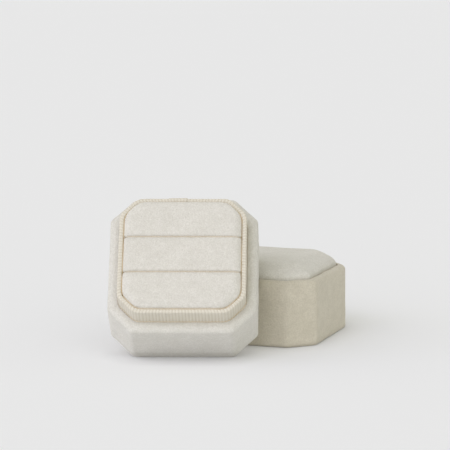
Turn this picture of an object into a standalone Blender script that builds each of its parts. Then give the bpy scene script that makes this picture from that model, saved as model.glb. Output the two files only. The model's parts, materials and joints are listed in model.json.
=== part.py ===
"""An octagonal velvet ring box in two halves: an open base tipped forward, and its lift-off lid.

Metres, +Z up, the open base faces -Y. Each half is modelled upright about its own centre and then
placed by its empty: base_frame tips the base onto the bottom edge of its front wall, and lid_frame
turns the lid, which stands on its rim and carries the raised edge of the base.
"""

import math

import bpy
import bmesh
from mathutils import Vector

# Driving dimensions of the two halves.
WIDTH = 0.057
CORNER_CUT = 0.0092
BASE_HEIGHT = 0.0248
COLLAR_RISE = 0.0077
SHOULDER = 0.0041
LID_HEIGHT = 0.0263
LID_DEPTH = 0.0213
LID_SEAM_INSET = 0.0032
DOME_RISE = 0.0059
DOME_REACH = 0.0120
PAD_PROUD = 0.0016
PAD_RISE = 0.0011
PAD_REACH = 0.0016
PAD_SLOT = 0.0003
CEILING_DEPTH = 0.0032
CEILING_BULGE = 0.0016
CEILING_REACH = 0.0060

# Sheet thicknesses, and the clearance left between pieces that touch.
VELVET = 0.0006
SMALL_VELVET = 0.0005
RIBBON = 0.0003
BASE_BOARD = 0.0022
LID_BOARD = 0.0020
LID_PLATE = 0.0018
COLLAR_BOARD = 0.0009
CUSHION_CARD = 0.0010
LINING = 0.0004
COVER = 0.0005
GAP = 0.0003
RIBBON_GAP = 0.00015

# How far the sheets reach round the edges they are folded over.
TURNED_IN = 0.0052
RIBBON_BELOW_SHOULDER = 0.0030
RIBBON_INSIDE = 0.0060
COVER_MARGIN = 0.0016

# Roundings.
CORNER_RADIUS = 0.0026
COLLAR_CORNER_RADIUS = 0.0055
SLOT_CORNER_RADIUS = 0.0006
SQUAREST_ROUND_CORNER = math.radians(100.0)
MOST_OF_A_SIDE = 0.48
SHOULDER_REACH = 0.0026
SHOULDER_DROP = 0.0021
FOOT_RADIUS = 0.0012
RIM_RADIUS = 0.0008
LID_EDGE_RADIUS = 0.0020
BOARD_BEVEL = 0.0007
RIBBON_EDGE_RADIUS = 0.0006
CORNER_STEPS = 4
PROFILE_STEPS = 4
CROWN_STEPS = 6

# How the halves stand: the base leans on the lid.
BASE_LEAN = math.radians(53.7)
LID_TURN = math.radians(-18.0)
LID_AWAY = (0.0302, 0.0318)

HALF = WIDTH / 2
COLLAR_TOP = BASE_HEIGHT + COLLAR_RISE
COLLAR_OUTSIDE = SHOULDER
COLLAR_INSIDE = SHOULDER + COLLAR_BOARD + 2 * (RIBBON + RIBBON_GAP)
CUSHION_INSET = COLLAR_INSIDE + GAP
BASE_BOARD_INSET = VELVET + GAP
BASE_FLOOR = COVER + GAP + VELVET + GAP
FLOOR_TOP = BASE_FLOOR + BASE_BOARD
CARD_BOTTOM = FLOOR_TOP + GAP
CARD_TOP = CARD_BOTTOM + CUSHION_CARD
PAD_BOTTOM = CARD_TOP + GAP
PAD_TOP = COLLAR_TOP + PAD_PROUD
LID_BOARD_INSET = VELVET + GAP
LID_LINING_INSET = LID_BOARD_INSET + LID_BOARD + GAP
LID_PLATE_TOP = LID_DEPTH + LID_PLATE


def clear_scene():
    for old in list(bpy.data.objects):
        bpy.data.objects.remove(old, do_unlink=True)


def material(name, colour, roughness):
    """A Principled BSDF surface; every piece of the box is a non-metal."""
    made = bpy.data.materials.new(name)
    made.use_nodes = True
    shader = made.node_tree.nodes["Principled BSDF"]
    shader.inputs["Base Color"].default_value = (*colour, 1.0)
    shader.inputs["Roughness"].default_value = roughness
    shader.inputs["Metallic"].default_value = 0.0
    made.diffuse_color = (*colour, 1.0)
    return made


def octagon_corners(half, cut):
    """The corners of a square of this half-width with its corners cut off, anticlockwise."""
    near = half - cut
    quarter = [Vector((half, -near)), Vector((half, near))]
    corners = []
    for turn in range(4):
        cosine = round(math.cos(turn * math.pi / 2))
        sine = round(math.sin(turn * math.pi / 2))
        corners += [Vector((cosine * p.x - sine * p.y, sine * p.x + cosine * p.y)) for p in quarter]
    return corners


def strip_corners(corners, low, high):
    """The part of a convex outline between two values of Y."""
    kept = []
    for start, end in zip(corners, corners[1:] + corners[:1]):
        if low <= start.y <= high:
            kept.append(start)
        crossed = [level for level in (low, high) if min(start.y, end.y) < level < max(start.y, end.y)]
        for level in sorted(crossed, reverse=end.y < start.y):
            kept.append(start.lerp(end, (level - start.y) / (end.y - start.y)))
    return kept


def corner_frame(corners, index):
    """The unit directions along the two sides that meet at a corner, and half the angle between them."""
    corner = corners[index]
    before = (corners[index - 1] - corner).normalized()
    after = (corners[(index + 1) % len(corners)] - corner).normalized()
    return before, after, before.angle(after) / 2


def inset_corners(corners, distance):
    """The same convex outline with each side moved inwards."""
    moved = []
    for index, corner in enumerate(corners):
        before, after, half_angle = corner_frame(corners, index)
        moved.append(corner + (before + after).normalized() * (distance / math.sin(half_angle)))
    return moved


def corner_radius(corners, index, radius):
    """Small where a slot leaves a square corner, and never more than the shorter side has room for."""
    _, _, half_angle = corner_frame(corners, index)
    wanted = radius if 2 * half_angle > SQUAREST_ROUND_CORNER else SLOT_CORNER_RADIUS
    before = (corners[index - 1] - corners[index]).length
    after = (corners[(index + 1) % len(corners)] - corners[index]).length
    room = MOST_OF_A_SIDE * min(before, after) * math.tan(half_angle)
    return min(wanted, room)


def rounded(corners, wanted, steps=CORNER_STEPS):
    """The outline with an arc of the wanted radius at each corner."""
    points = []
    for index, corner in enumerate(corners):
        before, after, half_angle = corner_frame(corners, index)
        radius = corner_radius(corners, index, wanted)
        centre = corner + (before + after).normalized() * (radius / math.sin(half_angle))
        spoke = corner + before * (radius / math.tan(half_angle)) - centre
        sweep = math.pi - 2 * half_angle
        for step in range(steps + 1):
            angle = sweep * step / steps
            turned = Vector(
                (
                    spoke.x * math.cos(angle) - spoke.y * math.sin(angle),
                    spoke.x * math.sin(angle) + spoke.y * math.cos(angle),
                )
            )
            points.append(centre + turned)
    return points


def arc(centre, radius, start, end, steps=PROFILE_STEPS):
    """Points of a profile, as (inset, height), on an arc. Angle 0 points outwards and 90 points up."""
    points = []
    for step in range(steps + 1):
        angle = math.radians(start + (end - start) * step / steps)
        points.append((centre[0] - radius * math.cos(angle), centre[1] + radius * math.sin(angle)))
    return points


def crown(inset, shoulder, reach, rise, steps=CROWN_STEPS):
    """Points of a padded top, as (inset, height): a quarter of an ellipse that starts upright."""
    points = []
    for step in range(1, steps + 1):
        angle = math.pi / 2 * step / steps
        points.append((inset + reach * (1 - math.cos(angle)), shoulder + rise * math.sin(angle)))
    return points


def loft(name, corners, profile, look, parent, is_ring=False, radius=CORNER_RADIUS):
    """A solid whose profile, as (inset, height) points, runs round an outline.

    The profile of a ring closes on itself; any other profile is capped at both of its ends.
    """
    mesh = bmesh.new()
    loops = []
    for inset, height in profile:
        outline = rounded(inset_corners(corners, inset), radius)
        loops.append([mesh.verts.new((point.x, point.y, height)) for point in outline])
    count = len(loops[0])
    following = loops[1:] + loops[:1] if is_ring else loops[1:]
    for lower, upper in zip(loops, following):
        for index in range(count):
            after = (index + 1) % count
            mesh.faces.new((lower[index], lower[after], upper[after], upper[index]))
    if not is_ring:
        mesh.faces.new(list(reversed(loops[0])))
        mesh.faces.new(loops[-1])
    bmesh.ops.recalc_face_normals(mesh, faces=mesh.faces)
    data = bpy.data.meshes.new(name)
    mesh.to_mesh(data)
    mesh.free()
    data.shade_smooth()
    data.set_sharp_from_angle(angle=math.radians(35))
    data.materials.append(look)
    piece = bpy.data.objects.new(name, data)
    bpy.context.collection.objects.link(piece)
    piece.parent = parent
    return piece


def frame_empty(name, parent=None):
    empty = bpy.data.objects.new(name, None)
    empty.empty_display_size = WIDTH / 4
    bpy.context.collection.objects.link(empty)
    empty.parent = parent
    return empty


def base_velvet_wrap(outline, look, frame):
    """Velvet over the wall: turned under the floor at the foot, and over the shoulder to the collar."""
    foot = COVER + GAP
    foot_centre = (FOOT_RADIUS, foot + FOOT_RADIUS)
    bend = BASE_HEIGHT - SHOULDER_DROP
    shoulder_end = COLLAR_OUTSIDE - GAP
    inner_reach = SHOULDER_REACH - VELVET
    inner_drop = SHOULDER_DROP - VELVET
    profile = [(TURNED_IN, foot)]
    profile += arc(foot_centre, FOOT_RADIUS, -90, 0)
    profile += [(0.0, bend)] + crown(0.0, bend, SHOULDER_REACH, SHOULDER_DROP)
    profile += [(shoulder_end, BASE_HEIGHT), (shoulder_end, BASE_HEIGHT - VELVET)]
    profile += list(reversed(crown(VELVET, bend, inner_reach, inner_drop))) + [(VELVET, bend)]
    profile += arc(foot_centre, FOOT_RADIUS - VELVET, 0, -90)
    profile += [(TURNED_IN, foot + VELVET)]
    loft("base_velvet_wrap", outline, profile, look, frame, is_ring=True)


def base_boards(outline, look, frame):
    """The rigid wall, bevelled along its top edge, and the floor that is glued inside it."""
    outside = BASE_BOARD_INSET
    inside = outside + BASE_BOARD
    top = BASE_HEIGHT - VELVET - GAP
    bevel = SHOULDER_REACH - outside
    wall = [
        (outside, BASE_FLOOR),
        (outside, top - bevel),
        (outside + bevel, top),
        (inside, top),
        (inside, BASE_FLOOR),
    ]
    loft("base_wall_board", outline, wall, look, frame, is_ring=True)
    floor = [(inside + GAP, BASE_FLOOR), (inside + GAP, FLOOR_TOP)]
    loft("base_floor_board", outline, floor, look, frame)


def base_bottom_cover(outline, look, frame):
    profile = [(COVER_MARGIN, 0.0), (COVER_MARGIN, COVER)]
    loft("base_bottom_cover", outline, profile, look, frame)


def collar_board(outline, look, frame):
    outside = COLLAR_OUTSIDE + RIBBON + RIBBON_GAP
    inside = outside + COLLAR_BOARD
    bottom = FLOOR_TOP + GAP
    top = COLLAR_TOP - RIBBON - RIBBON_GAP
    profile = [(outside, bottom), (outside, top), (inside, top), (inside, bottom)]
    loft("collar_board", outline, profile, look, frame, True, COLLAR_CORNER_RADIUS)


def collar_ribbon(outline, look, frame):
    """Ribbon glued round the collar: up its outside, over its top edge and down its inside."""
    edge_radius = RIBBON_EDGE_RADIUS
    outer_end = BASE_HEIGHT - RIBBON_BELOW_SHOULDER
    inner_end = COLLAR_TOP - RIBBON_INSIDE
    outer_centre = (COLLAR_OUTSIDE + edge_radius, COLLAR_TOP - edge_radius)
    inner_centre = (COLLAR_INSIDE - edge_radius, COLLAR_TOP - edge_radius)
    profile = [(COLLAR_OUTSIDE, outer_end)]
    profile += arc(outer_centre, edge_radius, 0, 90)
    profile += arc(inner_centre, edge_radius, 90, 180)
    profile += [(COLLAR_INSIDE, inner_end), (COLLAR_INSIDE - RIBBON, inner_end)]
    profile += arc(inner_centre, edge_radius - RIBBON, 180, 90)
    profile += arc(outer_centre, edge_radius - RIBBON, 90, 0)
    profile += [(COLLAR_OUTSIDE + RIBBON, outer_end)]
    loft("collar_ribbon", outline, profile, look, frame, True, COLLAR_CORNER_RADIUS)


def cushion_card(outline, look, frame):
    profile = [(CUSHION_INSET, CARD_BOTTOM), (CUSHION_INSET, CARD_TOP)]
    loft("cushion_card", outline, profile, look, frame, radius=COLLAR_CORNER_RADIUS)


def cushion_pad(name, plan, velvet, foam, frame):
    """One padded bar of the cushion: a foam core in a velvet cover that is open underneath."""
    shoulder = PAD_TOP - PAD_RISE
    outside = [(0.0, PAD_BOTTOM), (0.0, shoulder)]
    outside += crown(0.0, shoulder, PAD_REACH, PAD_RISE)
    inner = SMALL_VELVET
    inside = [(inner, PAD_BOTTOM), (inner, shoulder)]
    inside += crown(inner, shoulder, PAD_REACH - inner, PAD_RISE - inner)
    cover = list(reversed(inside)) + outside
    loft(f"cushion_velvet_{name}", plan, cover, velvet, frame, radius=COLLAR_CORNER_RADIUS)
    core = SMALL_VELVET + GAP
    profile = [(core, PAD_BOTTOM), (core, shoulder)]
    profile += crown(core, shoulder, PAD_REACH - core, PAD_RISE - core)
    loft(f"cushion_foam_{name}", plan, profile, foam, frame, radius=COLLAR_CORNER_RADIUS)


def cushion(outline, looks, frame):
    """Three bars across the box; the rings are held in the two slots between them."""
    cushion_card(outline, looks["card"], frame)
    plan = inset_corners(outline, CUSHION_INSET)
    half = HALF - CUSHION_INSET
    third = 2 * half / 3
    for index, name in enumerate(("front", "middle", "back")):
        low = -half + index * third
        high = low + third
        low_gap = PAD_SLOT / 2 if index > 0 else -GAP
        high_gap = PAD_SLOT / 2 if index < 2 else -GAP
        bar = strip_corners(plan, low + low_gap, high - high_gap)
        cushion_pad(name, bar, looks["velvet"], looks["foam"], frame)


def lid_velvet_wrap(outline, look, frame):
    """Velvet over the lid's wall: turned in at the rim, and over the top edge into the seam groove."""
    rim_centre = (RIM_RADIUS, RIM_RADIUS)
    top_centre = (LID_EDGE_RADIUS, LID_HEIGHT - LID_EDGE_RADIUS)
    rim_end = LID_LINING_INSET
    seam_end = LID_SEAM_INSET - GAP / 2
    profile = [(rim_end, 0.0)]
    profile += arc(rim_centre, RIM_RADIUS, -90, 0)
    profile += arc(top_centre, LID_EDGE_RADIUS, 0, 90)
    profile += [(seam_end, LID_HEIGHT), (seam_end, LID_HEIGHT - VELVET)]
    profile += arc(top_centre, LID_EDGE_RADIUS - VELVET, 90, 0)
    profile += arc(rim_centre, RIM_RADIUS - VELVET, 0, -90)
    profile += [(rim_end, VELVET)]
    loft("lid_velvet_wrap", outline, profile, look, frame, is_ring=True)


def lid_boards(outline, look, frame):
    """The rigid wall of the lid, and the plate inside it that carries the padded top."""
    outside = LID_BOARD_INSET
    inside = outside + LID_BOARD
    bottom = VELVET + GAP
    top = LID_HEIGHT - VELVET - GAP
    wall = [
        (outside, bottom),
        (outside, top - BOARD_BEVEL),
        (outside + BOARD_BEVEL, top),
        (inside, top),
        (inside, bottom),
    ]
    loft("lid_wall_board", outline, wall, look, frame, is_ring=True)
    plate = [(inside + GAP, LID_DEPTH), (inside + GAP, LID_PLATE_TOP)]
    loft("lid_top_board", outline, plate, look, frame)


def lid_top_pad(outline, velvet, foam, frame):
    """The domed top: foam under a velvet cover whose skirt drops into the seam groove."""
    inset = LID_SEAM_INSET + GAP / 2
    bottom = LID_PLATE_TOP + GAP
    shoulder = LID_HEIGHT
    outside = [(inset, bottom), (inset, shoulder)]
    outside += crown(inset, shoulder, DOME_REACH, DOME_RISE)
    inner = inset + VELVET
    inside = [(inner, bottom), (inner, shoulder)]
    inside += crown(inner, shoulder, DOME_REACH - VELVET, DOME_RISE - VELVET)
    loft("lid_top_velvet", outline, list(reversed(inside)) + outside, velvet, frame)
    core = inner + GAP
    spare = VELVET + GAP
    profile = [(core, bottom), (core, shoulder)]
    profile += crown(core, shoulder, DOME_REACH - spare, DOME_RISE - spare)
    loft("lid_top_foam", outline, profile, foam, frame)


def lid_wall_lining(outline, look, frame):
    inside = LID_LINING_INSET + LINING
    bottom = VELVET + GAP
    top = LID_DEPTH - GAP
    profile = [(LID_LINING_INSET, bottom), (LID_LINING_INSET, top), (inside, top), (inside, bottom)]
    loft("lid_wall_lining", outline, profile, look, frame, is_ring=True)


def lid_ceiling_pad(outline, velvet, foam, frame):
    """The soft pad under the lid's plate, which keeps the rings from rattling."""
    inset = LID_LINING_INSET + LINING + GAP
    top = LID_DEPTH - GAP
    shoulder = top - CEILING_DEPTH + CEILING_BULGE
    outside = [(inset, top), (inset, shoulder)]
    outside += crown(inset, shoulder, CEILING_REACH, -CEILING_BULGE)
    inner = inset + SMALL_VELVET
    inner_bulge = SMALL_VELVET - CEILING_BULGE
    inside = [(inner, top), (inner, shoulder)]
    inside += crown(inner, shoulder, CEILING_REACH - SMALL_VELVET, inner_bulge)
    loft("lid_ceiling_velvet", outline, list(reversed(inside)) + outside, velvet, frame)
    core = inner + GAP
    spare = SMALL_VELVET + GAP
    profile = [(core, top), (core, shoulder)]
    profile += crown(core, shoulder, CEILING_REACH - spare, spare - CEILING_BULGE)
    loft("lid_ceiling_foam", outline, profile, foam, frame)


def world_box(objects):
    """The lowest and the highest corner of these objects."""
    bpy.context.view_layer.update()
    points = [piece.matrix_world @ vertex.co for piece in objects for vertex in piece.data.vertices]
    low = Vector([min(point[axis] for point in points) for axis in range(3)])
    high = Vector([max(point[axis] for point in points) for axis in range(3)])
    return low, high


def meshes_under(frame):
    return [child for child in frame.children_recursive if child.type == "MESH"]


def place_halves(base_frame, lid_frame):
    """Tips the base onto its front bottom edge, turns the lid, and centres both on the origin."""
    base_frame.rotation_euler = (BASE_LEAN, 0.0, 0.0)
    lid_frame.rotation_euler = (0.0, 0.0, LID_TURN)
    lid_frame.location = (*LID_AWAY, 0.0)
    low, _ = world_box(meshes_under(base_frame))
    base_frame.location.z -= low.z
    low, high = world_box(meshes_under(base_frame) + meshes_under(lid_frame))
    middle = (low + high) / 2
    for frame in (base_frame, lid_frame):
        frame.location.x -= middle.x
        frame.location.y -= middle.y
    bpy.context.view_layer.update()


def main():
    clear_scene()
    looks = {
        "velvet": material("ivory_velvet", (0.66, 0.62, 0.55), 0.95),
        "ribbon": material("cream_grosgrain_ribbon", (0.70, 0.62, 0.48), 0.70),
        "board": material("grey_board", (0.42, 0.39, 0.35), 0.90),
        "card": material("white_card", (0.78, 0.76, 0.72), 0.85),
        "foam": material("white_foam", (0.85, 0.84, 0.80), 0.95),
        "lining": material("ivory_lining", (0.68, 0.64, 0.57), 0.90),
    }
    outline = octagon_corners(HALF, CORNER_CUT)
    base_frame = frame_empty("base_frame")
    cushion_frame = frame_empty("cushion_frame", base_frame)
    lid_frame = frame_empty("lid_frame")

    base_bottom_cover(outline, looks["lining"], base_frame)
    base_velvet_wrap(outline, looks["velvet"], base_frame)
    base_boards(outline, looks["board"], base_frame)
    collar_board(outline, looks["card"], base_frame)
    collar_ribbon(outline, looks["ribbon"], base_frame)
    cushion(outline, looks, cushion_frame)

    lid_velvet_wrap(outline, looks["velvet"], lid_frame)
    lid_boards(outline, looks["board"], lid_frame)
    lid_top_pad(outline, looks["velvet"], looks["foam"], lid_frame)
    lid_wall_lining(outline, looks["lining"], lid_frame)
    lid_ceiling_pad(outline, looks["velvet"], looks["foam"], lid_frame)
    place_halves(base_frame, lid_frame)


main()
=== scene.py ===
"""The looks of a velvet ring box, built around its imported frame: nap, ribbed ribbon and padding.

Each half is modelled upright in its own frame, the tipped base's or the turned lid's, and both
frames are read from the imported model. Metres, +Z up.
"""

import json
import math

import bpy
import numpy as np
from mathutils import Matrix, Vector, noise


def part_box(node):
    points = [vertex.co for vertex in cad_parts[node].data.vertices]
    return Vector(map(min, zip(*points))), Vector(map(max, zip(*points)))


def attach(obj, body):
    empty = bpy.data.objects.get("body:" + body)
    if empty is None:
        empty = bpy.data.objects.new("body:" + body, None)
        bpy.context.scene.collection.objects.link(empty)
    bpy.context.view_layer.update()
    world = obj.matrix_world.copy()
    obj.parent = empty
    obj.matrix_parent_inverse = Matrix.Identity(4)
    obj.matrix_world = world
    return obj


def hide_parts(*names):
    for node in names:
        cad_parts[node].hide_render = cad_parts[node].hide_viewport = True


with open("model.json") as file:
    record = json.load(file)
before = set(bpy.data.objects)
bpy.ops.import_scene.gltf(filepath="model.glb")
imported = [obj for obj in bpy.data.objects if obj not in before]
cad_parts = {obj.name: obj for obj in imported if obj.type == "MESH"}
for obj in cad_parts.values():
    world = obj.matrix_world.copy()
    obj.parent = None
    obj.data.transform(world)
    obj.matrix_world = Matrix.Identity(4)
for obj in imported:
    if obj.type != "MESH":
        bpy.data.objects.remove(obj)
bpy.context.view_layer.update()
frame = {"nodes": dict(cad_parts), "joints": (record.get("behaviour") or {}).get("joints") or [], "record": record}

# The octagon: how much of each corner is cut off, and how round the corners are that this leaves.
# Corners squarer than this angle are a slot's, and a rounding takes at most this share of a side.
CORNER_CUT = 0.0092
CORNER_RADIUS = 0.0026
COLLAR_CORNER_RADIUS = 0.0055
SLOT_CORNER_RADIUS = 0.0003
SQUAREST_ROUND_CORNER = math.radians(100.0)
MOST_OF_A_SIDE = 0.48

# Thicknesses of the sheets.
VELVET = 0.0006
RIBBON = 0.0003
LINING_THICKNESS = 0.0004
COLLAR_THICKNESS = 0.0018

# Roundings, and how far cloth is turned in under the base and down inside the collar. The shoulder
# is the base's flat between its wall and its collar, and starts with a soft bend.
SHOULDER = 0.0041
SHOULDER_REACH = 0.0026
SHOULDER_DROP = 0.0021
FOOT_RADIUS = 0.0012
RIM_RADIUS = 0.0013
LID_EDGE_RADIUS = 0.0020
RIBBON_EDGE_RADIUS = 0.0006
COVER_EDGE_RADIUS = 0.0002
TURNED_IN = 0.0052
RIBBON_TURNED_DOWN = 0.0060

# How cloth meets cloth: the fold at a cover's end, how deep it is tucked, where it resumes below
# its own face, and the gaps it leaves round the collar and in the lid's seam.
FOLD = 0.00025
TUCK = 0.0008
TUCKED_END = 1.4 * VELVET
NARROW_GAP = 0.00010
SEAM_GAP = 0.00040

# Painted glow, a warm emission standing in for the light pile passes on in a crease; the heights over which the
# floor stops it.
CREASE_REACH = 0.0008
CREASE_LIGHT = (0.245, 0.188, 0.122)
FLOOR_SHADE = (0.0015, 0.0030)

# Painted shade: pile is darkened where other surfaces are near, beside edges and in corners, over this reach, down
# to this share.
HOLLOW_REACH = 0.0028
HOLLOW_SHADE = 0.52
PAD_HOLLOW_SHADE = 0.94

# Grosgrain ribbon, and the lap where its two ends meet at the back of the collar: where along X it
# rises and falls, how high it is, and how far from the inner edge it fades out.
RIB_PITCH = 0.00124
RIB_HEIGHT = 0.00012
POINTS_PER_RIB = 8
LAP = (-0.0066, -0.0045, 0.0014, 0.0016)
LAP_RISE = 0.0003
LAP_FADE = 0.0006

# Padding: simulated at this enlargement, because cloth settings suit furniture, not trinkets.
SIM_SCALE = 20.0
SIM_FRAMES = 20
PAD_VOXEL = 0.00062
DOME_VOXEL = 0.00080

# How finely covers and plain linings are meshed, along an outline and up a profile.
COVER_SPACING = 0.0006
COVER_RISE = 0.0007
PLAIN_SPACING = 0.0012
PLAIN_RISE = 0.0010
RIBBON_RISE = 0.0012
PADDING_RISE = 0.0015

# How wide each of the large soft studio lights looks from the box, in degrees.
LIGHT_SPREAD = 80.0


# ---------------------------------------------------------------- places read from the frame


def upright(origin, x_axis, up):
    """The matrix from a half's own upright frame to the row frame."""
    y_axis = up.cross(x_axis).normalized()
    x_axis = y_axis.cross(up).normalized()
    columns = (x_axis, y_axis, up, origin)
    rows = [[column[row] for column in columns] for row in range(3)]
    return Matrix(rows + [[0.0, 0.0, 0.0, 1.0]])


def local_box(node, place):
    """The lowest and highest corner of a CAD node, in a half's own frame."""
    inverse = place.inverted()
    points = np.array([inverse @ vertex.co for vertex in frame["nodes"][node].data.vertices])
    return points.min(axis=0), points.max(axis=0)


def base_place():
    """The tipped base: its axis is the way the cushion lifts, and its origin is under its middle."""
    up = Vector(next(j["axis"] for j in frame["joints"] if j["name"] == "cushion_lift")).normalized()
    low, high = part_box("base_bottom_cover")
    place = upright((low + high) / 2, Vector((1.0, 0.0, 0.0)), up)
    low, _ = local_box("base_bottom_cover", place)
    return place @ Matrix.Translation((0.0, 0.0, low[2]))


def lid_place():
    """The turned lid: its front is the way from its middle to its mount, and its rim is at 0."""
    low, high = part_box("lid_velvet_wrap")
    centre = Vector(((low.x + high.x) / 2, (low.y + high.y) / 2, low.z))
    rim = next(m for m in frame["record"]["mounts"] if m["name"] == "lid_rim")
    front = (Vector(rim["pos_m"]) - centre).normalized()
    up = Vector((0.0, 0.0, 1.0))
    return upright(centre, up.cross(front), up)


BASE = base_place()
LID = lid_place()


# ---------------------------------------------------------------- outlines


def octagon(half, cut):
    """The corners of a square of this half-width with its corners cut off, anticlockwise."""
    near = half - cut
    first = [Vector((half, -near)), Vector((half, near))]
    quarters = [Matrix.Rotation(turn * math.pi / 2, 2) for turn in range(4)]
    return [quarter @ point for quarter in quarters for point in first]


def inset_corners(corners, distance):
    """The same convex outline with each side moved inwards."""
    moved = []
    for index, corner in enumerate(corners):
        before = (corners[index - 1] - corner).normalized()
        after = (corners[(index + 1) % len(corners)] - corner).normalized()
        reach = distance / math.sin(before.angle(after) / 2)
        moved.append(corner + (before + after).normalized() * reach)
    return moved


def strip_of(corners, low, high):
    """The part of a convex outline between two values of Y."""
    kept = []
    for start, end in zip(corners, corners[1:] + corners[:1]):
        if low <= start.y <= high:
            kept.append(start)
        crossed = [level for level in (low, high) if min(start.y, end.y) < level < max(start.y, end.y)]
        for level in sorted(crossed, reverse=end.y < start.y):
            kept.append(start.lerp(end, (level - start.y) / (end.y - start.y)))
    return kept


def corner_radius(corners, index, half_angle, radius):
    """Small where a slot leaves a square corner, and never more than the shorter side has room for."""
    wanted = radius if 2 * half_angle > SQUAREST_ROUND_CORNER else SLOT_CORNER_RADIUS
    before = (corners[index - 1] - corners[index]).length
    after = (corners[(index + 1) % len(corners)] - corners[index]).length
    return min(wanted, MOST_OF_A_SIDE * min(before, after) * math.tan(half_angle))


class Outline:
    """A convex outline with rounded corners, with the same number of points at every inset."""

    def __init__(self, corners, spacing, outer=CORNER_RADIUS, inner=None):
        """The corner radius runs from outer, at the outline, to inner, at the collar."""
        least_steps = 3
        self.corners = corners
        self.radii = (outer, outer if inner is None else inner)
        self.stations = []
        for index, length in enumerate(self.lengths(0.0)):
            steps = max(least_steps, round(length / spacing))
            self.stations += [(index, step / steps) for step in range(steps)]

    def arcs(self, inset):
        """The centre, first spoke and sweep of the arc at each corner."""
        corners = inset_corners(self.corners, inset)
        wanted = np.interp(inset, (0.0, SHOULDER), self.radii)
        arcs = []
        for index, corner in enumerate(corners):
            before = (corners[index - 1] - corner).normalized()
            after = (corners[(index + 1) % len(corners)] - corner).normalized()
            half_angle = before.angle(after) / 2
            radius = corner_radius(corners, index, half_angle, wanted)
            centre = corner + (before + after).normalized() * (radius / math.sin(half_angle))
            spoke = corner + before * (radius / math.tan(half_angle)) - centre
            arcs.append((centre, spoke, math.pi - 2 * half_angle))
        return arcs

    def lengths(self, inset):
        """How long each arc, and the side after it, is."""
        arcs = self.arcs(inset)
        lengths = []
        for index, (centre, spoke, sweep) in enumerate(arcs):
            next_centre, next_spoke, _ = arcs[(index + 1) % len(arcs)]
            end = centre + Matrix.Rotation(sweep, 2) @ spoke
            lengths += [spoke.length * sweep, (next_centre + next_spoke - end).length]
        return lengths

    def space_evenly(self, inset, pitch, points_per_pitch):
        """Spaces the points evenly at this inset; the pitch gives a little, to come out whole."""
        lengths = self.lengths(inset)
        total = round(sum(lengths) / pitch) * points_per_pitch
        ends = np.cumsum(lengths)
        self.stations = []
        for number in range(total):
            along = ends[-1] * number / total
            index = int(np.searchsorted(ends, along, side="right"))
            before = ends[index - 1] if index else 0.0
            self.stations.append((index, (along - before) / lengths[index]))

    def ring(self, inset):
        arcs = self.arcs(inset)
        points = []
        for index, share in self.stations:
            centre, spoke, sweep = arcs[index // 2]
            if index % 2 == 0:
                points.append(centre + Matrix.Rotation(sweep * share, 2) @ spoke)
                continue
            next_centre, next_spoke, _ = arcs[(index // 2 + 1) % len(arcs)]
            start = centre + Matrix.Rotation(sweep, 2) @ spoke
            points.append(start.lerp(next_centre + next_spoke, share))
        return np.array(points)


def arc(centre, radius, start, end, steps=6):
    """Points of a profile, as (inset, height), on an arc. Angle 0 points outwards and 90 points up."""
    points = []
    for step in range(steps + 1):
        angle = math.radians(start + (end - start) * step / steps)
        points.append((centre[0] - radius * math.cos(angle), centre[1] + radius * math.sin(angle)))
    return points


def crown(inset, shoulder, reach, rise, steps=10):
    """Points of a padded top, as (inset, height): a quarter of an ellipse that starts upright."""
    points = []
    for step in range(1, steps + 1):
        angle = math.pi / 2 * step / steps
        points.append((inset + reach * (1 - math.cos(angle)), shoulder + rise * math.sin(angle)))
    return points


def filled(profile, spacing):
    """The profile with points added along its long straight stretches."""
    points = [profile[0]]
    for start, end in zip(profile, profile[1:]):
        steps = max(1, round(math.dist(start, end) / spacing))
        for step in range(1, steps + 1):
            share = step / steps
            points.append(tuple(a + (b - a) * share for a, b in zip(start, end)))
    return points


# ---------------------------------------------------------------- meshes


def mesh_object(name, points, faces, look=None, sharp=40):
    """A smooth mesh with hard edges where its faces meet at more than this many degrees."""
    data = bpy.data.meshes.new(name)
    data.from_pydata([tuple(point) for point in points], [], faces)
    data.update()
    data.shade_smooth()
    data.set_sharp_from_angle(angle=math.radians(sharp))
    if look:
        data.materials.append(look)
    piece = bpy.data.objects.new(name, data)
    bpy.context.scene.collection.objects.link(piece)
    return piece


def skin(rings, is_ring):
    """The faces between rings of points; without is_ring the first and last ring are capped."""
    count = len(rings[0])
    total = len(rings)
    faces = []
    for level in range(total if is_ring else total - 1):
        lower, upper = level * count, (level + 1) % total * count
        for index in range(count):
            after = (index + 1) % count
            faces.append((lower + index, lower + after, upper + after, upper + index))
    if not is_ring:
        faces.append(tuple(reversed(range(count))))
        faces.append(tuple(range((total - 1) * count, total * count)))
    return faces


def loft(name, outline, profile, look=None, is_ring=False):
    """A solid whose profile runs round an outline; a ring's profile closes on itself."""
    count = len(outline.stations)
    rings = [
        np.column_stack([outline.ring(inset), np.full(count, height)]) for inset, height in profile
    ]
    return mesh_object(name, np.concatenate(rings), skin(rings, is_ring), look)


def seated(piece, place, body, node):
    """Puts a piece, modelled upright, where its half stands, on its body, in place of a CAD node."""
    piece.data.transform(place)
    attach(piece, body)
    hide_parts(node)


def points_of(data):
    points = np.empty(len(data.vertices) * 3)
    data.vertices.foreach_get("co", points)
    return points.reshape(-1, 3)


def normals_of(data):
    return np.array([vertex.normal for vertex in data.vertices])


def set_points(data, points):
    data.vertices.foreach_set("co", np.ascontiguousarray(points, np.float32).ravel())
    data.update()


def unevenness(points, size, seed):
    """A smooth number between about -1 and 1 at each point, that changes over this size."""
    offset = Vector((seed * 7.3, seed * 3.1, seed * 5.7))
    return np.array([noise.noise(Vector(point) / size + offset) for point in points])


def worked(piece, size, amount, seed):
    """Hand-covered cloth is never quite flat: moves the surface in and out a little."""
    points = points_of(piece.data)
    moves = unevenness(points, size, seed) * amount
    set_points(piece.data, points + normals_of(piece.data) * moves[:, None])


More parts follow.
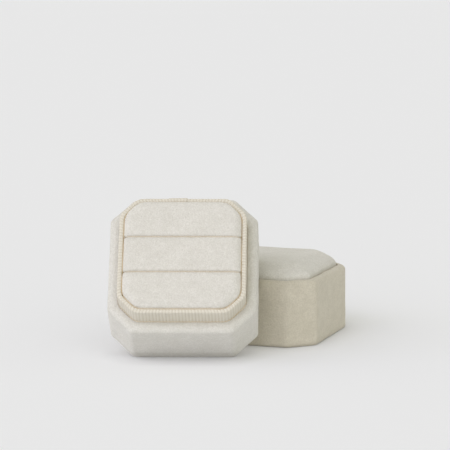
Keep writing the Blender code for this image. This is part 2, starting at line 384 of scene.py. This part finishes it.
def evaluated_copy(piece):
    graph = bpy.context.evaluated_depsgraph_get()
    return bpy.data.meshes.new_from_object(piece.evaluated_get(graph))


def apply_modifiers(piece):
    fresh = evaluated_copy(piece)
    old = piece.data
    piece.modifiers.clear()
    piece.data = fresh
    bpy.data.meshes.remove(old)


def inflate(piece, held, cap):
    """Cloth under pressure for a few frames; held says how firmly each point stays, 1 is fixed.

    The cover swells outwards only: the foam under it keeps it from sinking at its edges.
    """
    start = points_of(piece.data)
    outwards = normals_of(piece.data)
    group = piece.vertex_groups.new(name="held")
    for index, weight in enumerate(held):
        group.add([index], float(weight), "REPLACE")
    cloth = piece.modifiers.new("cloth", "CLOTH")
    settings = cloth.settings
    settings.quality = 4
    settings.mass = 0.3
    settings.tension_stiffness = 15
    settings.compression_stiffness = 15
    settings.shear_stiffness = 5
    settings.bending_stiffness = 0.5
    settings.use_pressure = True
    settings.uniform_pressure_force = 4
    settings.vertex_group_mass = "held"
    settings.effector_weights.gravity = 0
    cloth.collision_settings.use_collision = False
    cloth.point_cache.frame_start = 1
    cloth.point_cache.frame_end = SIM_FRAMES
    scene = bpy.context.scene
    for step in range(1, SIM_FRAMES + 1):
        scene.frame_set(step)
    swollen = evaluated_copy(piece)
    moves = points_of(swollen) - start
    moves -= outwards * np.minimum(0.0, (moves * outwards).sum(axis=1))[:, None]
    lengths = np.linalg.norm(moves, axis=1)
    share = np.minimum(1.0, cap / np.maximum(lengths, 1e-9))
    piece.modifiers.clear()
    bpy.data.meshes.remove(swollen)
    scene.frame_set(1)
    set_points(piece.data, start + moves * share[:, None])


def puffed(name, outline, profile, voxel, held_of, cap, look, keep_in):
    """A padded piece: a plain solid, remeshed, swollen as cloth, then kept in the room it has."""
    piece = loft(name, outline, profile)
    set_points(piece.data, points_of(piece.data) * SIM_SCALE)
    remesh = piece.modifiers.new("remesh", "REMESH")
    remesh.mode = "VOXEL"
    remesh.voxel_size = voxel * SIM_SCALE
    apply_modifiers(piece)
    inflate(piece, held_of(points_of(piece.data) / SIM_SCALE), cap * SIM_SCALE)
    set_points(piece.data, keep_in(points_of(piece.data) / SIM_SCALE))
    smooth = piece.modifiers.new("smooth", "SMOOTH")
    smooth.factor = 0.5
    smooth.iterations = 2
    finer = piece.modifiers.new("finer", "SUBSURF")
    finer.levels = 1
    finer.render_levels = 1
    apply_modifiers(piece)
    piece.data.shade_smooth()
    piece.data.materials.clear()
    piece.data.materials.append(look)
    return piece


# ---------------------------------------------------------------- materials


class Shader:
    """A small helper round one node tree."""

    def __init__(self, name):
        self.material = bpy.data.materials.new(name)
        self.material.use_nodes = True
        self.tree = self.material.node_tree
        self.surface = self.tree.nodes["Principled BSDF"]
        self.coordinates = self.node("ShaderNodeTexCoord").outputs["Object"]

    def node(self, kind, **settings):
        made = self.tree.nodes.new(kind)
        for key, value in settings.items():
            setattr(made, key, value)
        return made

    def join(self, source, target):
        self.tree.links.new(source, target)

    def noise(self, size, detail=2.0, stretch=(1.0, 1.0, 1.0)):
        """Noise whose features are about this size, in metres."""
        mapping = self.node("ShaderNodeMapping")
        mapping.inputs["Scale"].default_value = stretch
        self.join(self.coordinates, mapping.inputs["Vector"])
        made = self.node("ShaderNodeTexNoise")
        made.inputs["Scale"].default_value = 1.0 / size
        made.inputs["Detail"].default_value = detail
        self.join(mapping.outputs["Vector"], made.inputs["Vector"])
        return made.outputs["Fac"]

    def between(self, value, low, high, source_low=0.3, source_high=0.7):
        """The value, with its source range, most of a noise's, stretched to run from low to high."""
        made = self.node("ShaderNodeMapRange")
        made.inputs["From Min"].default_value = source_low
        made.inputs["From Max"].default_value = source_high
        made.inputs["To Min"].default_value = low
        made.inputs["To Max"].default_value = high
        self.join(value, made.inputs["Value"])
        return made.outputs["Result"]

    def times(self, first, second):
        made = self.node("ShaderNodeMath", operation="MULTIPLY")
        self.join(first, made.inputs[0])
        self.join(second, made.inputs[1])
        return made.outputs["Value"]

    def colour(self, colour, deep, brightness):
        """Runs from the deep colour, where brightness is 0, to the colour, where it is 1."""
        mix = self.node("ShaderNodeMix", data_type="RGBA", blend_type="MIX")
        mix.inputs["A"].default_value = (*deep, 1.0)
        mix.inputs["B"].default_value = (*colour, 1.0)
        self.join(brightness, mix.inputs["Factor"])
        self.join(mix.outputs["Result"], self.surface.inputs["Base Color"])

    def bump(self, height, distance):
        made = self.node("ShaderNodeBump")
        made.inputs["Distance"].default_value = distance
        self.join(height, made.inputs["Height"])
        self.join(made.outputs["Normal"], self.surface.inputs["Normal"])

    def openness(self, reach):
        """1 where nothing is within this reach, about a half in a square corner, 0 deep in a crease."""
        near = self.node("ShaderNodeAmbientOcclusion", samples=8)
        near.inputs["Distance"].default_value = reach
        return near.outputs["AO"]

    def glow_in_creases(self):
        """Painted glow: warm emission in a crease too narrow to light directly, for the light pile passes on
        there; none at the floor.
        """
        closed = self.between(self.openness(CREASE_REACH), 1.0, 0.0, source_low=0.0, source_high=0.6)
        place = self.node("ShaderNodeSeparateXYZ")
        self.join(self.coordinates, place.inputs["Vector"])
        off_floor = self.between(place.outputs["Z"], 0.0, 1.0, *FLOOR_SHADE)
        self.surface.inputs["Emission Color"].default_value = (*CREASE_LIGHT, 1.0)
        self.join(self.times(closed, off_floor), self.surface.inputs["Emission Strength"])

    def finish(self, roughness, sheen=0.0, tint=(1.0, 1.0, 1.0), sheen_roughness=0.5):
        self.surface.inputs["Roughness"].default_value = roughness
        self.surface.inputs["Specular IOR Level"].default_value = 0.2
        self.surface.inputs["Sheen Weight"].default_value = sheen
        self.surface.inputs["Sheen Roughness"].default_value = sheen_roughness
        self.surface.inputs["Sheen Tint"].default_value = (*tint, 1.0)
        return self.material


def velvet(name, colour, deep, brushing, painted_hollow_shade=HOLLOW_SHADE):
    """Short pile: speckle from the fibre tips, brushed patches this dark, a pale sheen, painted shade near other
    surfaces and painted glow in creases.
    """
    shader = Shader(name)
    tips = shader.between(shader.noise(size=0.0005, detail=3.0), 0.50, 1.0)
    tufts = shader.between(shader.noise(size=0.0013), 0.78, 1.0)
    patches = shader.noise(size=0.0045, detail=3.0, stretch=(0.8, 0.8, 1.2))
    brushed = shader.between(patches, brushing, 1.0)
    # Painted shade: darker where other surfaces are near.
    pressed = shader.between(
        shader.openness(HOLLOW_REACH), painted_hollow_shade, 1.0, source_low=0.5, source_high=1.0
    )
    level = shader.times(shader.times(tips, tufts), shader.times(brushed, pressed))
    shader.colour(colour, deep, level)
    shader.bump(shader.noise(size=0.0006, detail=3.0), distance=0.00022)
    shader.glow_in_creases()
    return shader.finish(roughness=0.95, sheen=0.35, tint=(1.0, 0.98, 0.94), sheen_roughness=0.45)


def grosgrain(name, colour, deep):
    """Ribbed ribbon: the ribs are in the mesh, the grooves between them are darkened with painted shade, and
    creases get the painted glow.
    """
    shader = Shader(name)
    rib = shader.node("ShaderNodeAttribute", attribute_name="rib").outputs["Fac"]
    # Painted shade: darker towards the grooves, where rib is 0.
    crest = shader.between(rib, 0.66, 1.0, source_low=0.0, source_high=0.8)
    threads = shader.between(shader.noise(size=0.00018), 0.90, 1.0)
    shader.colour(colour, deep, shader.times(crest, threads))
    shader.bump(shader.noise(size=0.00015), distance=0.00003)
    shader.glow_in_creases()
    return shader.finish(roughness=0.60, sheen=0.15, tint=(1.0, 0.97, 0.90))


def lining_cloth(name, colour, deep):
    """Flocked paper: a fine even fuzz with faint cloudy patches."""
    shader = Shader(name)
    flock = shader.between(shader.noise(size=0.0003), 0.85, 1.0)
    patches = shader.between(shader.noise(size=0.012, detail=1.0), 0.94, 1.0)
    shader.colour(colour, deep, shader.times(flock, patches))
    shader.bump(shader.noise(size=0.0003), distance=0.00006)
    return shader.finish(roughness=0.92, sheen=0.2)


def pulp_board(name, colour, deep):
    """Rigid board: long pale fibres and dark specks in a flat pulp."""
    shader = Shader(name)
    fibre = shader.noise(size=0.0006, detail=4.0, stretch=(1.0, 4.0, 1.0))
    speck = shader.noise(size=0.0004, detail=1.0)
    specks = shader.between(speck, 0.6, 1.0, source_low=0.28, source_high=0.38)
    shader.colour(colour, deep, shader.times(shader.between(fibre, 0.80, 1.0), specks))
    shader.bump(shader.noise(size=0.0005, detail=4.0), distance=0.00004)
    return shader.finish(roughness=0.90)


def open_foam(name, colour, deep):
    """Open-cell foam: small round cells, darkened towards their middles with painted shade, and bright walls."""
    cells_per_metre = 1400.0
    shader = Shader(name)
    cells = shader.node("ShaderNodeTexVoronoi", feature="F1")
    cells.inputs["Scale"].default_value = cells_per_metre
    shader.join(shader.coordinates, cells.inputs["Vector"])
    # Painted shade: darker towards each cell's middle.
    painted_pit_shade = shader.between(
        cells.outputs["Distance"], 0.55, 1.0, source_low=0.0, source_high=0.6
    )
    shader.colour(colour, deep, painted_pit_shade)
    shader.bump(cells.outputs["Distance"], distance=0.0002)
    return shader.finish(roughness=0.95)


LOOKS = {
    # Painted shade: the lid's wall gets a darker, warmer copy of the velvet, for the shade on it; the dome uses
    # the base's.
    "lid_velvet": velvet(
        "shaded_velvet", (0.675, 0.632, 0.53), (0.43, 0.395, 0.31), brushing=0.70
    ),
    "velvet": velvet("ivory_velvet", (0.747, 0.731, 0.68), (0.48, 0.461, 0.405), brushing=0.78),
    "pad_velvet": velvet(
        "pad_velvet", (0.747, 0.726, 0.672), (0.48, 0.458, 0.400),
        brushing=0.78, painted_hollow_shade=PAD_HOLLOW_SHADE,
    ),
    "ribbon": grosgrain("cream_grosgrain", (0.685, 0.65, 0.56), (0.45, 0.385, 0.285)),
    "lining": lining_cloth("ivory_flock_lining", (0.69, 0.655, 0.585), (0.48, 0.44, 0.36)),
    "board": pulp_board("grey_board", (0.40, 0.37, 0.33), (0.16, 0.14, 0.12)),
    "card": pulp_board("white_card", (0.78, 0.76, 0.71), (0.45, 0.43, 0.38)),
    "foam": open_foam("white_foam", (0.86, 0.85, 0.80), (0.50, 0.48, 0.42)),
}


# ---------------------------------------------------------------- the base


def vertical_seam(piece, wall_y, low, high):
    """The butt seam at the middle of the back wall, where the ends of the velvet meet."""
    half_width = 0.0004
    depth = 0.00022
    near_wall = 0.0008
    points = points_of(piece.data)
    near = np.clip(1 - np.abs(points[:, 0]) / half_width, 0, 1)
    on_wall = (points[:, 1] > wall_y - near_wall) & (points[:, 2] > low) & (points[:, 2] < high)
    points[:, 1] -= near * depth * on_wall
    set_points(piece.data, points)


def tucked_edge(end, top):
    """The velvet's end: folded down into a gap at this inset, then back up under itself."""
    fold = arc((end - FOLD, top - FOLD), FOLD, 90, 180, steps=4)
    under = end - VELVET
    return fold + [(end, top - TUCK), (under, top - TUCK), (under, top - TUCKED_END)]


def base_wrap():
    """Velvet drawn over the wall and shoulder, and turned under the floor."""
    low, high = local_box("base_velvet_wrap", BASE)
    half, foot, top = high[0], low[2], high[2]
    _, collar_high = local_box("collar_ribbon", BASE)
    end = half - collar_high[0] - NARROW_GAP
    bend = top - SHOULDER_DROP
    foot_centre = (FOOT_RADIUS, foot + FOOT_RADIUS)
    profile = [(TURNED_IN, foot)]
    profile += arc(foot_centre, FOOT_RADIUS, -90, 0)
    profile += [(0.0, bend)] + crown(0.0, bend, SHOULDER_REACH, SHOULDER_DROP)
    profile += tucked_edge(end, top)
    inner = crown(VELVET, bend, SHOULDER_REACH - VELVET, SHOULDER_DROP - VELVET, steps=6)
    profile += list(reversed(inner)) + [(VELVET, bend)]
    profile += arc(foot_centre, FOOT_RADIUS - VELVET, 0, -90)
    profile += [(TURNED_IN, foot + VELVET)]
    octagonal = octagon(half, CORNER_CUT)
    outline = Outline(octagonal, COVER_SPACING, CORNER_RADIUS, COLLAR_CORNER_RADIUS)
    profile = filled(profile, COVER_RISE)
    piece = loft("base_velvet_cover", outline, profile, LOOKS["velvet"], is_ring=True)
    worked(piece, size=0.006, amount=0.00012, seed=1)
    worked(piece, size=0.0018, amount=0.00004, seed=2)
    vertical_seam(piece, half, foot, bend)
    seated(piece, BASE, "base", "base_velvet_wrap")


def profile_normals(profile):
    """Which way is out, as (inset, height), at each point of a profile that runs upwards outside."""
    normals = []
    for index in range(len(profile)):
        before = profile[max(index - 1, 0)]
        after = profile[min(index + 1, len(profile) - 1)]
        along = Vector((after[0] - before[0], after[1] - before[1])).normalized()
        normals.append((-along[1], along[0]))
    return normals


def ribbon_band(name, outline, face, inset):
    """A ribbed band: face is its outer face as a profile, from its outer to its inner edge."""
    outline.space_evenly(inset, RIB_PITCH, POINTS_PER_RIB)
    count = len(outline.stations)
    crest = 0.5 + 0.5 * np.cos(2 * math.pi * np.arange(count) / POINTS_PER_RIB)
    middle = outline.ring(inset)
    lap = np.interp(middle[:, 0], LAP, (0.0, LAP_RISE, LAP_RISE, 0.0)) * (middle[:, 1] > 0)
    small = 0.0001
    rings = []
    ribs = []
    turns = profile_normals(face)
    # rib runs from 1 on a crest to 0 in a groove, where the ribbon's material paints shade; the back face is all
    # groove.
    sides = [(face, turns, -RIB_HEIGHT * (1 - crest), crest)]
    sides += [(face[::-1], turns[::-1], np.full(count, -RIBBON), 0 * crest)]
    for points, normals, relief, rib in sides:
        for (at, height), (out, up) in zip(points, normals):
            rise = relief + lap * min(1.0, (face[-1][0] - at) / LAP_FADE)
            ring = outline.ring(at)
            away = (outline.ring(at + out * small) - ring) / small
            rings.append(np.column_stack([ring + away * rise[:, None], height + up * rise]))
            ribs.append(rib)
    faces = skin(rings, is_ring=True)
    piece = mesh_object(name, np.concatenate(rings), faces, LOOKS["ribbon"], sharp=60)
    rib_level = piece.data.attributes.new("rib", "FLOAT", "POINT")
    rib_level.data.foreach_set("value", np.concatenate(ribs))
    return piece


def collar_ribbon():
    """Ribbon glued round the collar: up its outside, over its top edge and down its inside."""
    low, high = local_box("collar_ribbon", BASE)
    _, wrap_high = local_box("base_velvet_wrap", BASE)
    half, top = wrap_high[0], high[2]
    outside = half - high[0]
    inside = outside + COLLAR_THICKNESS
    radius = RIBBON_EDGE_RADIUS
    face = [(outside, low[2])]
    face += arc((outside + radius, top - radius), radius, 0, 90, steps=5)
    face += arc((inside - radius, top - radius), radius, 90, 180, steps=5)
    face += [(inside, top - RIBBON_TURNED_DOWN)]
    outline = Outline(octagon(half, CORNER_CUT), RIB_PITCH, COLLAR_CORNER_RADIUS)
    piece = ribbon_band("collar_ribbon_ribbed", outline, filled(face, RIBBON_RISE), outside)
    worked(piece, size=0.007, amount=0.00006, seed=3)
    seated(piece, BASE, "base", "collar_ribbon")


def bottom_cover():
    """The flocked sheet glued under the base, over the velvet's turned-in ends."""
    low, high = local_box("base_bottom_cover", BASE)
    _, wrap_high = local_box("base_velvet_wrap", BASE)
    margin = wrap_high[0] - high[0]
    edge = COVER_EDGE_RADIUS
    profile = arc((margin + edge, low[2] + edge), edge, -90, 0, steps=3)
    profile += arc((margin + edge, high[2] - edge), edge, 0, 90, steps=3)
    outline = Outline(octagon(wrap_high[0], CORNER_CUT), PLAIN_SPACING)
    piece = loft("base_bottom_flock", outline, profile, LOOKS["lining"])
    seated(piece, BASE, "base", "base_bottom_cover")


# ---------------------------------------------------------------- padding


def sides_of(corners):
    """A point on each side of a convex outline, and the way out there."""
    sides = []
    for start, end in zip(corners, corners[1:] + corners[:1]):
        along = (end - start).normalized()
        sides.append((np.array(start), np.array((along.y, -along.x))))
    return sides


def sunk_rim(piece, corners, bottom, reach, drop):
    """Draws a cushion's top down towards its outline, where its cover is pulled round the edge.

    The back edge stays up: it stands over the ribbon behind it.
    """
    backwards = 0.5
    points = points_of(piece.data)
    sides = [side for side in sides_of(corners) if side[1][1] < backwards]
    inside = np.min([(start - points[:, :2]) @ outwards for start, outwards in sides], axis=0)
    near = np.clip(1 - inside / reach, 0, 1) ** 2
    top = points[:, 2].max()
    points[:, 2] -= drop * near * np.clip((points[:, 2] - bottom) / (top - bottom), 0, 1)
    set_points(piece.data, points)


def room(outline, low, high, margin):
    """A function that keeps points inside a solid of this outline, between these two corners."""
    sides = sides_of(inset_corners(outline.corners, margin))

    def keep_in(points):
        kept = np.array(points)
        kept[:, 2] = np.clip(kept[:, 2], low[2], high[2])
        for start, outwards in sides:
            over = np.clip((kept[:, :2] - start) @ outwards, 0, None)
            kept[:, :2] -= over[:, None] * outwards
        return kept

    return keep_in


def cushion_pads():
    """Three velvet bars; each swells until it fills its share of the collar."""
    spare = 0.0002
    pressed = 0.0001
    edge_reach, edge_rise = 0.0011, 0.0005
    held_depth = 0.003
    most_swelling = 0.0004
    rim_reach, rim_drop = 0.0036, 0.0009
    _, wrap_high = local_box("base_velvet_wrap", BASE)
    _, middle_high = local_box("cushion_velvet_middle", BASE)
    cushion = inset_corners(octagon(wrap_high[0], CORNER_CUT), wrap_high[0] - middle_high[0])
    for seed, name in enumerate(("front", "middle", "back")):
        low, high = local_box(f"cushion_velvet_{name}", BASE)
        plan = strip_of(cushion, low[1], high[1])
        outline = Outline(plan, 2 * PAD_VOXEL, COLLAR_CORNER_RADIUS)
        shoulder = high[2] - spare - edge_rise
        profile = [(-pressed, low[2]), (-pressed, shoulder)]
        profile += crown(-pressed, shoulder, edge_reach, edge_rise, steps=6)

        def held(points, shoulder=shoulder):
            return np.clip((shoulder - points[:, 2]) / held_depth, 0, 1)

        piece = puffed(
            f"cushion_pad_{name}", outline, filled(profile, PLAIN_RISE), PAD_VOXEL, held,
            most_swelling, LOOKS["pad_velvet"], room(outline, low, high, -pressed),
        )
        sunk_rim(piece, cushion, shoulder - held_depth, rim_reach, rim_drop)
        worked(piece, size=0.004, amount=0.00005, seed=10 + seed)
        worked(piece, size=0.0012, amount=0.00002, seed=20 + seed)
        seated(piece, BASE, "cushion", f"cushion_velvet_{name}")


# ---------------------------------------------------------------- the lid


def lid_wrap():
    """Velvet drawn over the lid's wall, turned in at the rim and down into the seam groove."""
    low, high = local_box("lid_velvet_wrap", LID)
    half, top = high[0], high[2]
    _, dome_high = local_box("lid_top_velvet", LID)
    _, lining_high = local_box("lid_wall_lining", LID)
    end = half - dome_high[0] - SEAM_GAP
    rim_end = half - lining_high[0]
    rim_centre = (RIM_RADIUS, RIM_RADIUS)
    top_centre = (LID_EDGE_RADIUS, top - LID_EDGE_RADIUS)
    profile = [(rim_end, 0.0)]
    profile += arc(rim_centre, RIM_RADIUS, -90, 0)
    profile += arc(top_centre, LID_EDGE_RADIUS, 0, 90, steps=8)
    profile += tucked_edge(end, top)
    profile += arc(top_centre, LID_EDGE_RADIUS - VELVET, 90, 0)
    profile += arc(rim_centre, RIM_RADIUS - VELVET, 0, -90)
    profile += [(rim_end, VELVET)]
    outline = Outline(octagon(half, CORNER_CUT), COVER_SPACING)
    profile = filled(profile, COVER_RISE)
    # The wall takes the shaded copy of the velvet: painted shade.
    piece = loft("lid_velvet_cover", outline, profile, LOOKS["lid_velvet"], is_ring=True)
    worked(piece, size=0.006, amount=0.00012, seed=4)
    worked(piece, size=0.0018, amount=0.00004, seed=5)
    vertical_seam(piece, half, low[2], top - LID_EDGE_RADIUS)
    seated(piece, LID, "lid", "lid_velvet_wrap")


def lid_dome():
    """The padded top of the lid, puffed up between the walls of the seam groove."""
    low, high = local_box("lid_top_velvet", LID)
    _, wrap_high = local_box("lid_velvet_wrap", LID)
    inset = wrap_high[0] - high[0]
    shoulder = wrap_high[2]
    spare = 0.0003
    reach = 0.0120
    held_depth = 0.0015
    most_swelling = 0.0006
    outline = Outline(octagon(wrap_high[0], CORNER_CUT), 2 * DOME_VOXEL)
    profile = [(inset, low[2]), (inset, shoulder)]
    profile += crown(inset, shoulder, reach, high[2] - shoulder - spare, steps=14)

    def held(points):
        return np.clip((shoulder - points[:, 2]) / held_depth, 0, 1)

    piece = puffed(
        "lid_padded_top", outline, filled(profile, PADDING_RISE), DOME_VOXEL, held,
        most_swelling, LOOKS["velvet"], room(outline, low, high, inset),
    )
    worked(piece, size=0.009, amount=0.00018, seed=6)
    worked(piece, size=0.002, amount=0.00003, seed=7)
    seated(piece, LID, "lid", "lid_top_velvet")


def lid_lining():
    """The flocked strip round the inside of the lid's wall, rolled at its lower edge."""
    low, high = local_box("lid_wall_lining", LID)
    _, wrap_high = local_box("lid_velvet_wrap", LID)
    inset = wrap_high[0] - high[0]
    roll = LINING_THICKNESS / 2
    profile = [(inset, low[2] + roll), (inset, high[2]), (inset + LINING_THICKNESS, high[2])]
    profile += arc((inset + roll, low[2] + roll), roll, 180, 360)[:-1]
    profile = filled(profile, PLAIN_RISE)[::-1]
    outline = Outline(octagon(wrap_high[0], CORNER_CUT), PLAIN_SPACING)
    piece = loft("lid_inner_lining", outline, profile, LOOKS["lining"], is_ring=True)
    seated(piece, LID, "lid", "lid_wall_lining")


def lid_ceiling():
    """The soft pad inside the lid, over the rings."""
    low, high = local_box("lid_ceiling_velvet", LID)
    _, wrap_high = local_box("lid_velvet_wrap", LID)
    inset = wrap_high[0] - high[0]
    spare = 0.0002
    bulge = 0.0014
    reach = 0.0060
    held_depth = 0.0010
    most_swelling = 0.0004
    shoulder = low[2] + bulge + spare
    outline = Outline(octagon(wrap_high[0], CORNER_CUT), 2 * DOME_VOXEL)
    profile = [(inset, high[2]), (inset, shoulder)]
    profile += crown(inset, shoulder, reach, -bulge, steps=8)

    def held(points):
        return np.clip((points[:, 2] - shoulder + spare) / held_depth, 0, 1)

    piece = puffed(
        "lid_ceiling_pad", outline, filled(profile, PADDING_RISE)[::-1], DOME_VOXEL, held,
        most_swelling, LOOKS["velvet"], room(outline, low, high, inset),
    )
    worked(piece, size=0.008, amount=0.00012, seed=8)
    seated(piece, LID, "lid", "lid_ceiling_velvet")


def dress_cad_nodes():
    """The boards, cards and foam keep their CAD shape and get their real surface."""
    card_nodes = ("collar_board", "cushion_card")
    for name, node in frame["nodes"].items():
        kind = next((word for word in ("board", "card", "foam") if word in name), None)
        if kind is None or node.hide_render:
            continue
        look = LOOKS["card"] if name in card_nodes else LOOKS[kind]
        for slot in node.material_slots:
            slot.material = look


# ---------------------------------------------------------------- stage


def floor():
    """A pale floor, a little overexposed: it gives off some light, and less close under the box, which paints a
    shadow there.
    """
    size = 8.0
    drop = 0.00005
    glow, glow_in_painted_shadow = 0.15, 0.07
    shelter_reach = 0.010
    corners = [(x * size, y * size, -drop) for x, y in ((-1, -1), (1, -1), (1, 1), (-1, 1))]
    shader = Shader("pale_floor")
    # Painted shadow: the glow drops where the box is within the reach.
    open_sky = shader.openness(shelter_reach)
    glow_with_painted_shadow = shader.between(open_sky, glow_in_painted_shadow, glow, source_low=0.4, source_high=1.0)
    shader.join(glow_with_painted_shadow, shader.surface.inputs["Emission Strength"])
    shader.surface.inputs["Emission Color"].default_value = (1.0, 1.0, 1.0, 1.0)
    shader.surface.inputs["Base Color"].default_value = (0.737, 0.741, 0.757, 1.0)
    shader.surface.inputs["Roughness"].default_value = 0.9
    shader.surface.inputs["Specular IOR Level"].default_value = 0.0
    mesh_object("floor", corners, [(0, 1, 2, 3)], shader.material)


def soft_sun(name, towards, energy, tint):
    """A large soft light far away in this direction."""
    data = bpy.data.lights.new(name, "SUN")
    data.energy = energy
    data.color = tint
    data.angle = math.radians(LIGHT_SPREAD)
    lamp = bpy.data.objects.new(name, data)
    lamp.rotation_euler = Vector(towards).to_track_quat("Z", "Y").to_euler()
    bpy.context.scene.collection.objects.link(lamp)


def studio_light():
    """A warm even surround, a cool key from the front left, three fills, and a pale backdrop."""
    world = bpy.data.worlds.new("studio")
    bpy.context.scene.world = world
    world.use_nodes = True
    tree = world.node_tree
    surround = tree.nodes["Background"]
    surround.inputs["Color"].default_value = (1.0, 0.995, 0.94, 1.0)
    surround.inputs["Strength"].default_value = 0.56
    backdrop = tree.nodes.new("ShaderNodeBackground")
    backdrop.inputs["Color"].default_value = (0.80, 0.80, 0.80, 1.0)
    path = tree.nodes.new("ShaderNodeLightPath")
    mix = tree.nodes.new("ShaderNodeMixShader")
    tree.links.new(path.outputs["Is Camera Ray"], mix.inputs["Fac"])
    tree.links.new(surround.outputs["Background"], mix.inputs[1])
    tree.links.new(backdrop.outputs["Background"], mix.inputs[2])
    tree.links.new(mix.outputs["Shader"], tree.nodes["World Output"].inputs["Surface"])
    soft_sun("key", towards=(-0.7, -0.7, 0.4), energy=1.02, tint=(1.0, 0.98, 1.36))
    soft_sun("front_fill", towards=(0.0, -1.0, 0.35), energy=0.96, tint=(1.0, 1.0, 0.88))
    soft_sun("left_fill", towards=(-1.0, -0.1, 0.35), energy=0.48, tint=(1.0, 1.0, 0.66))
    soft_sun("right_fill", towards=(1.0, -0.1, 0.35), energy=0.25, tint=(0.98, 1.0, 0.82))


def camera():
    """A long lens, a little above the box and level with its left half."""
    downwards, roll, leftwards = 8.61, 0.25, 1.90
    data = bpy.data.cameras.new("camera")
    data.sensor_width = 36.0
    data.lens = 186.85
    data.clip_start = 0.05
    data.clip_end = 40.0
    piece = bpy.data.objects.new("camera", data)
    piece.location = (0.02855, -0.9111, 0.1849)
    piece.rotation_euler = [math.radians(turn) for turn in (90 - downwards, roll, leftwards)]
    bpy.context.scene.collection.objects.link(piece)
    bpy.context.scene.camera = piece
    bpy.context.scene.view_settings.view_transform = "Standard"


base_wrap()
collar_ribbon()
bottom_cover()
cushion_pads()
lid_wrap()
lid_dome()
lid_lining()
lid_ceiling()
dress_cad_nodes()
floor()
studio_light()
camera()
